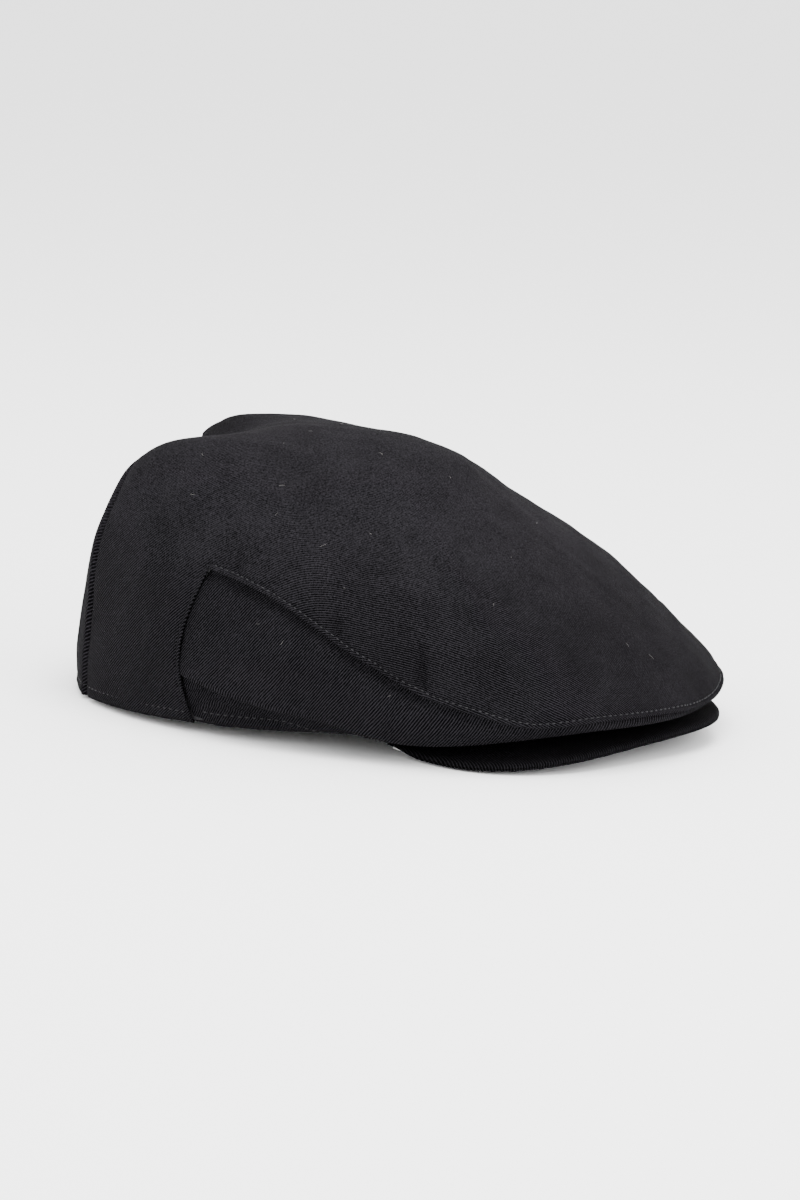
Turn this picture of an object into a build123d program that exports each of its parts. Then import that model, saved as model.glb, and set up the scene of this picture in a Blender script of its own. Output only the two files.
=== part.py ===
"""Flat cap: one-piece top panel with two rear darts, two side panels, lining,
sweatband, and a stiff brim that a press stud holds up against the nose.

Frame, in millimetres: +X is the wearer's left, -Y is the front, +Z is up.
The origin is the middle of the head opening, on the surface the cap rests on.
"""
from build123d import *
from math import cos, hypot, radians, sin
import os

os.makedirs("parts", exist_ok=True)

# ---- driving dimensions -------------------------------------------------
HEAD_HALF_WIDTH = 81.2        # inner face of the sweatband
HEAD_HALF_LENGTH = 102.4
BAND_THICKNESS = 1.2
BAND_LOWER = 1.0              # sweatband edges, above the hem plane
BAND_UPPER = 29.0
OPENING_GAP = 0.6             # cloth edge to the outside of the sweatband
CLOTH = 1.2                   # twill with its fusible backing
LINING_OUTER = 2.0            # faces of the lining, inward from the crown's skin
LINING_INNER = 2.5
LINING_FLOOR_LIFT = 3.2       # the lining clears the press stud in the nose
HEM_REAR_Y = 107.0            # the hem plane runs from here, at the resting height,
NOSE_FRONT_Y = -155.0         # to here, where it is NOSE_HEM_HEIGHT above it
NOSE_HEM_HEIGHT = 12.0
SECTION_POINTS = 24

# Crown sections, from the hem plane up to the top. Each is an egg-shaped loop:
# rear (y, z), front (y, z), half width, share of the length from the rear at
# which it is widest, front and rear roundness, and how far the cloth leans
# inward there (0 is an upright wall, 90 is flat).
CROWN_SECTIONS = [
    (107.0, 0.0, -155.0, 12.0, 87.0, 0.60, 2.2, 2.4, 0),
    (107.5, 16.0, -157.0, 16.0, 92.0, 0.61, 2.2, 2.3, 0),
    (104.5, 44.0, -152.5, 23.0, 94.0, 0.62, 2.2, 2.2, 6),
    (94.0, 74.0, -140.5, 34.0, 91.5, 0.62, 2.1, 2.3, 20),
    (73.5, 100.5, -120.0, 50.5, 81.0, 0.60, 2.15, 2.6, 45),
    (51.5, 110.0, -95.0, 68.0, 62.0, 0.56, 2.2, 2.4, 68),
    (17.0, 111.5, -58.5, 89.5, 31.0, 0.54, 2.0, 2.0, 82),
    (1.0, 109.7, -39.0, 98.6, 17.0, 0.52, 2.0, 2.0, 88),
]

# Seams of the side panels, seen from the side as (y, z).
TOP_SEAM = [(17, 65), (-13, 57.5), (-43, 43), (-79, 26.5), (-112, 18), (-162, 17)]
SIDE_SEAM_MIDDLE = (31, 30)
SIDE_SEAM_FOOT = (25, -4)
CUT_HALF_WIDTH = 120.0

# Brim: half outline as (x, y) from the tip to the joint with the head opening.
BRIM_OUTLINE = [(0, -159.5), (43, -143), (69, -125), (82, -106.5), (85.5, -91), (80, -66), (71, -48)]
BRIM_THICKNESS = 2.8
BRIM_COVER = 0.6
BRIM_RIM = 1.6                # cloth and seam in front of the board's edge
BRIM_ARCH_RADIUS = 600.0      # across the cap, corners low
BRIM_TIP_Y = -158.0
BRIM_SHEET_OVERRUN = 10.0     # the arched sheet is cut from a blank this much longer
BRIM_CENTRE_Y = -85.0         # the free edge is inset towards this place
BRIM_TIP_HEIGHT = 8.0         # underside of the tip
BRIM_SLOPE = 0.028            # drop per millimetre from the tip to the head

# Press stud between the nose and the brim.
SNAP_Y = -140.0
SNAP_HOLE_OVERRUN = 1.0       # the hole is cut from this far below the cloth
SNAP_FLANGE_DIAMETER = 10.0
SNAP_FLANGE_THICKNESS = 0.35
SNAP_BODY_DIAMETER = 7.0
SNAP_BODY_HEIGHT = 2.3
SNAP_POST_DIAMETER = 4.2
SNAP_BEAD_DIAMETER = 4.8
SNAP_POST_HEIGHT = 1.9
SNAP_RADIAL_GAP = 0.4
SNAP_RING_THICKNESS = 0.5

# Sweatband details at the back.
ELASTIC_HALF_WIDTH = 32.0
LABEL_HALF_WIDTH = 15.0
LABEL_THICKNESS = 0.4
LABEL_LOWER = 10.0
LABEL_UPPER = 22.0

# ---- values worked out from them ----------------------------------------
BAND_OUTER_WIDTH = HEAD_HALF_WIDTH + BAND_THICKNESS
BAND_OUTER_LENGTH = HEAD_HALF_LENGTH + BAND_THICKNESS
OPENING_HALF_WIDTH = BAND_OUTER_WIDTH + OPENING_GAP
OPENING_HALF_LENGTH = BAND_OUTER_LENGTH + OPENING_GAP
HEM_SLOPE = NOSE_HEM_HEIGHT / (HEM_REAR_Y - NOSE_FRONT_Y)
TALL = 200.0


def hem_height(y):
    """Height of the hem plane at a place along the cap."""
    return HEM_SLOPE * (HEM_REAR_Y - y)


def brim_underside_height(y):
    """Height of the brim's underside on the centre line."""
    return BRIM_TIP_HEIGHT - BRIM_SLOPE * (y - BRIM_TIP_Y)


def hem_plane(y, lift=0.0):
    """A plane on the hem plane at y, lifted square to it."""
    base = Plane(origin=(0, y, hem_height(y)), x_dir=(1, 0, 0), z_dir=(0, HEM_SLOPE, 1))
    return base.offset(lift)


def brim_plane(y, lift=0.0):
    """A plane on the brim's underside at the centre line, lifted square to it."""
    base = Plane(origin=(0, y, brim_underside_height(y)), x_dir=(1, 0, 0), z_dir=(0, BRIM_SLOPE, 1))
    return base.offset(lift)


def egg_loop(length, half_width, widest, front_power, rear_power):
    """Points of a section: a superellipse whose halves differ in length and roundness."""
    points = []
    for step in range(SECTION_POINTS):
        turn = radians(360.0 * step / SECTION_POINTS)
        along = cos(turn)
        across = sin(turn)
        power = front_power if along > 0 else rear_power
        reach = (1 - widest) * length if along > 0 else widest * length
        size = (abs(along) ** power + abs(across) ** power) ** (-1 / power)
        points.append((half_width * across * size, -reach * along * size))
    return points


def crown_form(inset, floor_lift):
    """The crown as one solid, its skin moved inward by inset and its floor up by floor_lift."""
    with BuildPart() as form:
        for number, row in enumerate(CROWN_SECTIONS):
            rear_y, rear_z, front_y, front_z, half_width, widest, front_power, rear_power, lean = row
            full_length = hypot(rear_y - front_y, rear_z - front_z)
            rise = (rear_z - front_z) / full_length
            run = (rear_y - front_y) / full_length
            edge_inset = inset * cos(radians(lean))
            drop = -floor_lift if number == 0 else inset * sin(radians(lean))
            centre_y = rear_y - widest * full_length * run
            centre_z = rear_z - widest * full_length * rise
            level = Plane(
                origin=(0, centre_y, centre_z), x_dir=(1, 0, 0), z_dir=(0, -rise, run)
            ).offset(-drop)
            length = full_length - 2 * edge_inset
            loop = egg_loop(length, half_width - edge_inset, widest, front_power, rear_power)
            with BuildSketch(level):
                with BuildLine():
                    Spline(*loop, periodic=True)
                make_face()
        loft()
    return form.part


def side_panel_cutter(direction):
    """Everything below the top seam and ahead of the side seam, on one side of the middle."""
    with BuildPart() as cutter:
        with BuildSketch(Plane.YZ):
            with BuildLine():
                Spline(*TOP_SEAM)
                Line(TOP_SEAM[-1], (TOP_SEAM[-1][0], SIDE_SEAM_FOOT[1]))
                Line((TOP_SEAM[-1][0], SIDE_SEAM_FOOT[1]), SIDE_SEAM_FOOT)
                ThreePointArc(SIDE_SEAM_FOOT, SIDE_SEAM_MIDDLE, TOP_SEAM[0])
            make_face()
        extrude(amount=direction * CUT_HALF_WIDTH)
    return cutter.part


def hem_slab(lower, upper):
    """The space between two heights above the hem plane."""
    with BuildPart() as slab:
        with BuildSketch(hem_plane(0.0, lower)):
            Rectangle(2 * TALL, 2 * TALL)
        extrude(amount=upper - lower)
    return slab.part


def brim_slab(lower, upper):
    """An arched sheet, between two distances above the brim's underside."""
    with BuildPart() as sheet:
        front = brim_plane(BRIM_TIP_Y - BRIM_SHEET_OVERRUN)
        end_plane = Plane(origin=front.origin, x_dir=(1, 0, 0), z_dir=(0, -1, BRIM_SLOPE))
        with BuildSketch(end_plane):
            with Locations((0, -BRIM_ARCH_RADIUS)):
                Circle(BRIM_ARCH_RADIUS + upper)
                Circle(BRIM_ARCH_RADIUS + lower, mode=Mode.SUBTRACT)
            Rectangle(2 * TALL, TALL, mode=Mode.INTERSECT)
        extrude(amount=-TALL)
    return sheet.part


def brim_column(inset):
    """A tall column over the brim's outline, its free edge moved inward by inset."""
    right_half = []
    for x, y in BRIM_OUTLINE:
        reach = hypot(x, y - BRIM_CENTRE_Y)
        keep = 1 - inset / reach
        right_half.append((keep * x, BRIM_CENTRE_Y + keep * (y - BRIM_CENTRE_Y)))
    left_half = [(-x, y) for x, y in right_half[:0:-1]]
    with BuildPart() as column:
        with BuildSketch(Plane.XY.offset(-TALL / 2)):
            with BuildLine():
                Spline(*left_half, *right_half)
                Line(right_half[-1], left_half[0])
            make_face()
            Ellipse(OPENING_HALF_WIDTH + inset / 2, OPENING_HALF_LENGTH + inset / 2, mode=Mode.SUBTRACT)
        extrude(amount=TALL)
    return column.part


skin_form = crown_form(0.0, 0.0)
cloth_inside = crown_form(CLOTH, CLOTH)
lining_skin = crown_form(LINING_OUTER, LINING_FLOOR_LIFT)
lining_inside = crown_form(LINING_INNER, LINING_FLOOR_LIFT + LINING_INNER - LINING_OUTER)
left_cutter = side_panel_cutter(1)
right_cutter = side_panel_cutter(-1)

# ---- crown, outside: cloth shell, then its three panels --------------------
with BuildPart() as crown_shell:
    add(skin_form)
    add(cloth_inside, mode=Mode.SUBTRACT)
    with BuildSketch(Plane.XY.offset(-TALL / 2)):
        Ellipse(OPENING_HALF_WIDTH, OPENING_HALF_LENGTH)
    extrude(amount=TALL / 2 + BAND_UPPER, mode=Mode.SUBTRACT)
    with BuildSketch(hem_plane(SNAP_Y, -SNAP_HOLE_OVERRUN)):
        Circle(SNAP_BODY_DIAMETER / 2)
    extrude(amount=LINING_FLOOR_LIFT, mode=Mode.SUBTRACT)

with BuildPart() as top_panel:
    add(crown_shell.part)
    add(left_cutter, mode=Mode.SUBTRACT)
    add(right_cutter, mode=Mode.SUBTRACT)

with BuildPart() as side_panel_left:
    add(crown_shell.part)
    add(left_cutter, mode=Mode.INTERSECT)

with BuildPart() as side_panel_right:
    add(crown_shell.part)
    add(right_cutter, mode=Mode.INTERSECT)

# ---- lining: the same three pieces, inside the cloth ------------------------
with BuildPart() as lining_shell:
    add(lining_skin)
    add(lining_inside, mode=Mode.SUBTRACT)
    with BuildSketch(Plane.XY.offset(-TALL / 2)):
        Ellipse(OPENING_HALF_WIDTH, OPENING_HALF_LENGTH)
    extrude(amount=TALL / 2 + BAND_UPPER, mode=Mode.SUBTRACT)

with BuildPart() as lining_top:
    add(lining_shell.part)
    add(left_cutter, mode=Mode.SUBTRACT)
    add(right_cutter, mode=Mode.SUBTRACT)

with BuildPart() as lining_side_left:
    add(lining_shell.part)
    add(left_cutter, mode=Mode.INTERSECT)

with BuildPart() as lining_side_right:
    add(lining_shell.part)
    add(right_cutter, mode=Mode.INTERSECT)

# ---- sweatband, its elastic length at the back, and a blank label ----------
band_height = hem_slab(BAND_LOWER, BAND_UPPER)
label_height = hem_slab(LABEL_LOWER, LABEL_UPPER)

with BuildPart() as band_ring:
    with BuildSketch(Plane.XY.offset(-TALL / 2)):
        Ellipse(BAND_OUTER_WIDTH, BAND_OUTER_LENGTH)
        Ellipse(HEAD_HALF_WIDTH, HEAD_HALF_LENGTH, mode=Mode.SUBTRACT)
    extrude(amount=TALL)
    add(band_height, mode=Mode.INTERSECT)

with BuildPart() as sweatband:
    add(band_ring.part)
    with BuildSketch(Plane.XY.offset(-TALL / 2)):
        with Locations((0, TALL / 2)):
            Rectangle(2 * ELASTIC_HALF_WIDTH, TALL)
    extrude(amount=TALL, mode=Mode.SUBTRACT)

with BuildPart() as back_elastic:
    add(band_ring.part)
    with BuildSketch(Plane.XY.offset(-TALL / 2)):
        with Locations((0, TALL / 2)):
            Rectangle(2 * ELASTIC_HALF_WIDTH, TALL)
    extrude(amount=TALL, mode=Mode.INTERSECT)

with BuildPart() as blank_label:
    with BuildSketch(Plane.XY.offset(-TALL / 2)):
        Ellipse(HEAD_HALF_WIDTH, HEAD_HALF_LENGTH)
        Ellipse(HEAD_HALF_WIDTH - LABEL_THICKNESS, HEAD_HALF_LENGTH - LABEL_THICKNESS, mode=Mode.SUBTRACT)
        with Locations((0, TALL / 2)):
            Rectangle(2 * LABEL_HALF_WIDTH, TALL, mode=Mode.INTERSECT)
    extrude(amount=TALL)
    add(label_height, mode=Mode.INTERSECT)

# ---- brim: a board between two cloth covers that meet round its rim ----------
brim_outline = brim_column(0.0)
board_outline = brim_column(BRIM_RIM)
brim_middle = BRIM_THICKNESS / 2

with BuildPart() as brim_board:
    add(board_outline)
    add(brim_slab(BRIM_COVER, BRIM_THICKNESS - BRIM_COVER), mode=Mode.INTERSECT)

with BuildPart() as brim_cover_top:
    add(brim_outline)
    add(brim_slab(brim_middle, BRIM_THICKNESS), mode=Mode.INTERSECT)
    add(brim_board.part, mode=Mode.SUBTRACT)

with BuildPart() as brim_cover_under:
    add(brim_outline)
    add(brim_slab(0.0, brim_middle), mode=Mode.INTERSECT)
    add(brim_board.part, mode=Mode.SUBTRACT)

# ---- press stud: socket and ring on the nose, stud on the brim ---------------
with BuildPart() as snap_socket:
    with BuildSketch(hem_plane(SNAP_Y, -SNAP_FLANGE_THICKNESS)):
        Circle(SNAP_FLANGE_DIAMETER / 2)
    extrude(amount=SNAP_FLANGE_THICKNESS)
    with BuildSketch(hem_plane(SNAP_Y)):
        Circle(SNAP_BODY_DIAMETER / 2)
    extrude(amount=SNAP_BODY_HEIGHT)
    with BuildSketch(hem_plane(SNAP_Y, -SNAP_FLANGE_THICKNESS)):
        Circle(SNAP_BEAD_DIAMETER / 2 + SNAP_RADIAL_GAP)
    extrude(amount=SNAP_FLANGE_THICKNESS + SNAP_BODY_HEIGHT - SNAP_RADIAL_GAP, mode=Mode.SUBTRACT)

with BuildPart() as snap_socket_ring:
    with BuildSketch(hem_plane(SNAP_Y, CLOTH)):
        Circle(SNAP_FLANGE_DIAMETER / 2)
        Circle(SNAP_BODY_DIAMETER / 2, mode=Mode.SUBTRACT)
    extrude(amount=SNAP_RING_THICKNESS)

with BuildPart() as snap_stud:
    with BuildSketch(brim_plane(SNAP_Y, BRIM_THICKNESS)):
        Circle(SNAP_FLANGE_DIAMETER / 2)
    extrude(amount=SNAP_FLANGE_THICKNESS)
    with BuildSketch(brim_plane(SNAP_Y, BRIM_THICKNESS + SNAP_FLANGE_THICKNESS)):
        Circle(SNAP_POST_DIAMETER / 2)
    extrude(amount=SNAP_POST_HEIGHT / 2)
    with BuildSketch(brim_plane(SNAP_Y, BRIM_THICKNESS + SNAP_FLANGE_THICKNESS + SNAP_POST_HEIGHT / 2)):
        Circle(SNAP_BEAD_DIAMETER / 2)
    extrude(amount=SNAP_POST_HEIGHT / 2)

for name, piece in [
    ("top_panel", top_panel),
    ("side_panel_left", side_panel_left),
    ("side_panel_right", side_panel_right),
    ("lining_top", lining_top),
    ("lining_side_left", lining_side_left),
    ("lining_side_right", lining_side_right),
    ("sweatband", sweatband),
    ("back_elastic", back_elastic),
    ("blank_label", blank_label),
    ("brim_board", brim_board),
    ("brim_cover_top", brim_cover_top),
    ("brim_cover_under", brim_cover_under),
    ("snap_socket", snap_socket),
    ("snap_socket_ring", snap_socket_ring),
    ("snap_stud", snap_stud),
]:
    piece.part.label = name
    export_step(piece.part, f"parts/{name}.step")
    print(name, len(piece.part.solids()), round(piece.part.volume))
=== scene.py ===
# %% [markdown]
# # A flat cap, surface by surface
#
# The cap is sewn from a few pieces of twill: one top panel shaped by two darts at the back, and
# two side panels that turn under the nose. A stiff brim hangs from the front of the head opening.
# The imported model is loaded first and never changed: it says where everything is, and each soft
# solid in it is replaced below by a surface with seams, rolled edges and real stitches.

# %% Load the frame
import math

import bmesh
import bpy
import numpy as np
from mathutils import Matrix, Vector


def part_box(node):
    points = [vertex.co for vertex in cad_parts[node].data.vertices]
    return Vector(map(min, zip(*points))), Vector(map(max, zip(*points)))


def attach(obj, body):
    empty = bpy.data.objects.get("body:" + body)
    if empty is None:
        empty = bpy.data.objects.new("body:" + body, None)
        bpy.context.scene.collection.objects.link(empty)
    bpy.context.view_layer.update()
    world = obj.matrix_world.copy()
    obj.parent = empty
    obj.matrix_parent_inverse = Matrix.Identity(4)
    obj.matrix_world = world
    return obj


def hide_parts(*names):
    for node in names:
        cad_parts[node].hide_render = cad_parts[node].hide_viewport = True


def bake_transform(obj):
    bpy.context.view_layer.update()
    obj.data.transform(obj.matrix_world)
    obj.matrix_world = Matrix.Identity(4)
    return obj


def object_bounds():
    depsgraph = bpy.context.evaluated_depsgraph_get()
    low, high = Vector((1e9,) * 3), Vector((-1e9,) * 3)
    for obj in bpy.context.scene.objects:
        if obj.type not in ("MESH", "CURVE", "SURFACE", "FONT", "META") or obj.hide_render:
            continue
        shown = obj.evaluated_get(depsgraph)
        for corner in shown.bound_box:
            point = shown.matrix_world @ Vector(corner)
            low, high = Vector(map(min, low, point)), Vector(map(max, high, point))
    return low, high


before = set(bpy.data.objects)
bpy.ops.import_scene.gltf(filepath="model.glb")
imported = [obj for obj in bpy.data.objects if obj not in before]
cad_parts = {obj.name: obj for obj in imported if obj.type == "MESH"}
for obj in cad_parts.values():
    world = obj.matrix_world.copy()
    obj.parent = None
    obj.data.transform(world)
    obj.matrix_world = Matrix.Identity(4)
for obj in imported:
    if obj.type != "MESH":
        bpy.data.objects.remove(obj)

cad_low, cad_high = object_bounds()
MM = 0.001
TURN = 2 * math.pi
print("CAD box", cad_low, cad_high)

# %% [markdown]
# ## The crown as one formula
#
# A cap could be sculpted, or modelled as a box and subdivided. Here it is written down instead:
# eight egg-shaped sections climb from the hem to the top, and a smooth spline runs through them
# at every angle round the head. Any point of the crown is then a function of two numbers, the
# turn round the head (0 at the nose) and the height up the cloth (0 at the hem, 1 at the top),
# so a seam is simply a curve in those two numbers.

# %% Crown sections and the surface through them
# rear y, rear z, front y, front z, half width, widest at (share from the rear), front and rear roundness
SECTIONS = np.array([
    (107.0, 0.0, -155.0, 12.0, 87.0, 0.60, 2.2, 2.4),
    (107.5, 16.0, -157.0, 16.0, 92.0, 0.61, 2.2, 2.3),
    (104.5, 44.0, -152.5, 23.0, 94.0, 0.62, 2.2, 2.2),
    (94.0, 74.0, -140.5, 34.0, 91.5, 0.62, 2.1, 2.3),
    (73.5, 100.5, -120.0, 50.5, 81.0, 0.60, 2.15, 2.6),
    (51.5, 110.0, -95.0, 68.0, 62.0, 0.56, 2.2, 2.4),
    (17.0, 111.5, -58.5, 89.5, 31.0, 0.54, 2.0, 2.0),
    (-18.0, 106.0, -18.0, 106.0, 0.0, 0.50, 2.0, 2.0),
])


def egg_loop(section, turn):
    """A superellipse in a plane that tips forward: its front and rear halves have their own
    length and roundness. turn may be any array; the answer has one more axis, for x, y and z."""
    rear_y, rear_z, front_y, front_z, half_width, widest, front_power, rear_power = section
    length = math.hypot(front_y - rear_y, front_z - rear_z)
    step_y, step_z = ((front_y - rear_y) / length, (front_z - rear_z) / length) if length else (-1.0, 0.0)
    along, across = np.cos(turn), np.sin(turn)
    power = np.where(along > 0, front_power, rear_power)
    reach = np.where(along > 0, (1 - widest) * length, widest * length) + widest * 0
    size = (np.abs(along) ** power + np.abs(across) ** power) ** (-1 / power)
    forward = widest * length + reach * along * size
    return np.stack([half_width * across * size, rear_y + step_y * forward, rear_z + step_z * forward], -1)


def section_heights():
    """Place each section at its share of the mean distance travelled up the cloth."""
    turns = np.linspace(0, TURN, 180, endpoint=False)
    loops = np.stack([egg_loop(s, turns) for s in SECTIONS])
    steps = np.linalg.norm(np.diff(loops, axis=0), axis=2).mean(1)
    travelled = np.concatenate([[0], np.cumsum(steps)])
    return travelled / travelled[-1], travelled[-1]


KNOTS, CLOTH_RUN = section_heights()


def spline_table(knots):
    """Natural cubic spline: a matrix that turns values at the knots into second derivatives."""
    count, gap = len(knots), np.diff(knots)
    left, right = np.eye(count), np.zeros((count, count))
    for i in range(1, count - 1):
        left[i, i - 1:i + 2] = gap[i - 1], 2 * (gap[i - 1] + gap[i]), gap[i]
        right[i, i - 1:i + 2] = 6 / gap[i - 1], -6 / gap[i - 1] - 6 / gap[i], 6 / gap[i]
    return np.linalg.solve(left, right)


# Two sections seen from the far side of the top carry the spline smoothly over it.
OVER_KNOTS = np.concatenate([KNOTS, 2 - KNOTS[-2:-4:-1]])
OVER_TABLE = spline_table(OVER_KNOTS)


def spline_weights(knots, table, place):
    """The share of each knot's value in the spline's value at every place."""
    place = np.asarray(place, float)
    cell = np.clip(np.searchsorted(knots, place, side="right") - 1, 0, len(knots) - 2)
    gap = np.diff(knots)[cell]
    a, b = (knots[cell + 1] - place) / gap, (place - knots[cell]) / gap
    bend_a, bend_b = (a ** 3 - a) * gap ** 2 / 6, (b ** 3 - b) * gap ** 2 / 6
    identity = np.eye(len(knots))
    return (a[..., None] * identity[cell] + b[..., None] * identity[cell + 1]
            + bend_a[..., None] * table[cell] + bend_b[..., None] * table[cell + 1])


def crown(turn, height):
    """The bare crown in millimetres: spline weights at each height, times the sections at each turn."""
    turn, height = np.broadcast_arrays(np.asarray(turn, float), np.asarray(height, float))
    weights = spline_weights(OVER_KNOTS, OVER_TABLE, height)
    loops = [egg_loop(s, turn) for s in SECTIONS]
    loops += [egg_loop(s, turn + math.pi) for s in SECTIONS[-2:-4:-1]]
    return sum(weights[..., k, None] * loop for k, loop in enumerate(loops))


def crown_frame(turn, height):
    """Point, outward normal, and millimetres per radian of turn and per unit of height."""
    small = 1e-4
    height = np.clip(height, 0.0, 0.9985)
    point = crown(turn, height)
    round_step = (crown(turn + small, height) - crown(turn - small, height)) / (2 * small)
    up_step = (crown(turn, height + small) - crown(turn, height - small)) / (2 * small)
    normal = np.cross(round_step, up_step)
    normal /= np.linalg.norm(normal, axis=-1, keepdims=True)
    return point, normal, np.linalg.norm(round_step, axis=-1), np.linalg.norm(up_step, axis=-1)


def smooth(x, start, end):
    """Rises from 0 at start to 1 at end, level at both."""
    t = np.clip((np.asarray(x, float) - start) / (end - start), 0, 1)
    return t * t * (3 - 2 * t)


def bump(x, width):
    """A bell curve, 1 at 0 and 0.37 at width."""
    return np.exp(-(np.asarray(x, float) / width) ** 2)


test_point, test_normal, _, _ = crown_frame(np.radians([0.0, 90.0, 180.0]), np.array([0.2, 0.2, 0.2]))
print("nose, side and back:", np.round(test_point).tolist(), "normals", np.round(test_normal, 2).tolist())

# %% [markdown]
# ## Where the seams run
#
# Each seam is a short list of points in turn and height. Only one half is listed,
# because the cap is the same on both sides. The top seam starts beside the nose, climbs to the
# corner behind the temple, and meets the side seam there. The dart closes the back.

# %% Seam curves
CORNER = 119.0          # degrees from the nose to the corner of the side panel
CORNER_HEIGHT = 0.302
DART_HEIGHT = 0.40      # top of the dart
DART_TOP_TURN = 156.0
TOP_SEAM_TURN = [0, 8, 21, 32, 44, 56, 61, 68, 77, 85, 95, 100, 106, 113, 119]
TOP_SEAM_HEIGHT = [0.070, 0.074, 0.094, 0.101, 0.095, 0.079, 0.088, 0.112,
                   0.138, 0.171, 0.225, 0.258, 0.287, 0.301, 0.302]
FOLD_TURN = [0, 10, 37, 52, 70, 86, 92, 96, 103, 109, 114, 119]
FOLD_HEIGHT = [0.045, 0.045, 0.036, 0.014, 0.004, 0.012, 0.029, 0.047, 0.060, 0.070, 0.080, 0.090]
SIDE_SHARE = [0.0, 0.17, 0.36, 0.56, 0.77, 1.0]
SIDE_TURN = [118, 120, 121.6, 121.8, 120.6, 119]
DART_SHARE = [0.0, 0.25, 0.5, 0.75, 0.9, 1.0]
DART_TURN = [146.5, 148, 149.4, 150.2, 152, 156]


def eased(x, xs, ys):
    """A smooth curve through a few points: natural cubic spline, values held outside the ends."""
    xs, ys = np.asarray(xs, float), np.asarray(ys, float)
    return spline_weights(xs, spline_table(xs), np.clip(x, xs[0], xs[-1])) @ ys


def away(turn):
    """Degrees from the nose, the same on both sides."""
    return np.abs((np.degrees(turn) + 180) % 360 - 180)


def panel_edge(turn):
    """Lower edge of the top panel's upper part: the seam in front, a line over the wings behind."""
    side = away(turn)
    behind = CORNER_HEIGHT + (DART_HEIGHT - CORNER_HEIGHT) * smooth(side, CORNER, DART_TOP_TURN)
    return np.where(side <= CORNER, eased(side, TOP_SEAM_TURN, TOP_SEAM_HEIGHT), behind)


print("seam height at the corner", float(panel_edge(np.radians(CORNER))))

# %% [markdown]
# ## Relief of the cloth
#
# Sewn cloth is never a clean shell. The two darts raise a soft lobe each and leave a valley
# between them; the top seam draws the cloth into small puckers; every sewn edge rolls a little
# and dips under its thread. Each effect is a bell curve of the distance to its seam, added up
# and pushed along the surface normal. Working in distances keeps all of it at true size.

# %% Relief
TOP_STITCH_IN, HEM_STITCH_UP = 2.0, 4.6     # stitch rows: mm in from the top seam, and up from the hem
# Creases beside the top seam: degrees from the nose, width and depth (mm), how far up they run (mm).
CREASES = [(80.5, 2.5, 3.4, 30.0), (86.0, 5.0, -1.4, 24.0), (96.5, 2.3, 2.6, 16.0),
           (114.0, 2.2, 1.8, 11.0), (66.0, 5.0, 1.0, 18.0)]


def wander(x, y, seed):
    """Slow random waves: a sum of sines with seeded directions and phases, about 1 high."""
    chance = np.random.default_rng(seed)
    total = 0.0
    for wave in range(6):
        kx, ky = chance.normal(size=2) * (1 + wave / 3)
        total = total + np.sin(kx * x + ky * y + chance.uniform(0, TURN)) / 6 ** 0.5
    return total


def rear_valley(point):
    """Depth of the hollow between the two rear lobes, in millimetres."""
    x, y, z = point[..., 0], point[..., 1], point[..., 2]
    return 12.5 * bump(x, 24) * smooth(z, 55, 95) * bump(y - 67, 30)


def top_relief(turn, height, point, per_turn, per_height):
    """Millimetres to push the top panel outward, from valley, lobes, darts, seams and creases."""
    side = away(turn)
    x, y, z = point[..., 0], point[..., 1], point[..., 2]
    total = -rear_valley(point)
    total += 1.3 * bump(np.abs(x) - 37, 11) * smooth(z, 60, 95) * bump(y - 45, 42)
    lobe_height = 2.4 + 3.2 * smooth(x, -12, 12)
    total += lobe_height * bump(np.abs(x) - 43, 16) * bump(y - 74, 16) * smooth(z, 50, 80)
    total += 2.6 * bump(np.abs(x) - 52, 17) * bump(y - 87, 14) * bump(z - 60, 18)
    total += 6.0 * bump(x, 50) * bump(y + 36, 28) * smooth(z, 78, 95)
    # darts: a groove, and the seam allowance pressed towards the centre back
    share = np.clip(height / DART_HEIGHT, 0, 1.15)
    to_dart = np.radians(side - eased(share, DART_SHARE, DART_TURN)) * per_turn
    dart_fade = 1 - smooth(height, 0.39, 0.46)
    strip = smooth(to_dart, 0.6, 1.6) * (1 - smooth(to_dart, 3.8, 5.2))
    total += dart_fade * (-2.7 * bump(to_dart, 1.15) + 0.8 * strip)
    # top seam: rolled edge, groove under the thread, small puckers, then the creases
    from_seam = np.where(side <= CORNER + 0.01, (height - panel_edge(turn)) * per_height, 99.0)
    total += 0.4 * (1 - smooth(from_seam, 1.2, 2.8)) - 0.5 * (1 - smooth(from_seam, 0.0, 0.5))
    total -= 0.62 * bump(from_seam - TOP_STITCH_IN, 0.65)
    puckers = np.sin(np.radians(side) * 95 / 6.4 * TURN / 2 + 2 * wander(side / 9, side * 0, 3))
    total += 0.22 * puckers * bump(from_seam - 3.0, 3.2)
    for place, width, depth, run in CREASES:
        across = np.radians(side - place) * per_turn + 0.18 * from_seam
        along = smooth(from_seam, 0.5, 4) * (1 - smooth(from_seam, 0.35 * run, run))
        total -= depth * bump(across, width) * along
    # side seam: the wing laps over the side panel
    share = height / CORNER_HEIGHT
    from_side = np.radians(side - eased(share, SIDE_SHARE, SIDE_TURN)) * per_turn
    from_side = np.where(share <= 1.02, from_side, 99.0)
    total += 0.4 * (1 - smooth(from_side, 1.0, 2.0)) - 0.35 * bump(from_side - 1.7, 0.5)
    # hem: turned-up cloth, with a groove under its row of stitches
    from_hem = np.where(side > CORNER - 2, height * per_height, 99.0)
    total += 0.3 * (1 - smooth(from_hem, 3.6, 5.2)) - 0.3 * bump(from_hem - HEM_STITCH_UP, 0.6)
    total -= 0.5 * (1 - smooth(from_hem, 0, 1.2))
    total += 0.35 * wander(x / 30, y / 26 + z / 30, 4)
    return total + 0.12 * wander(x / 8, y / 9 + z / 8, 5)


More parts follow.
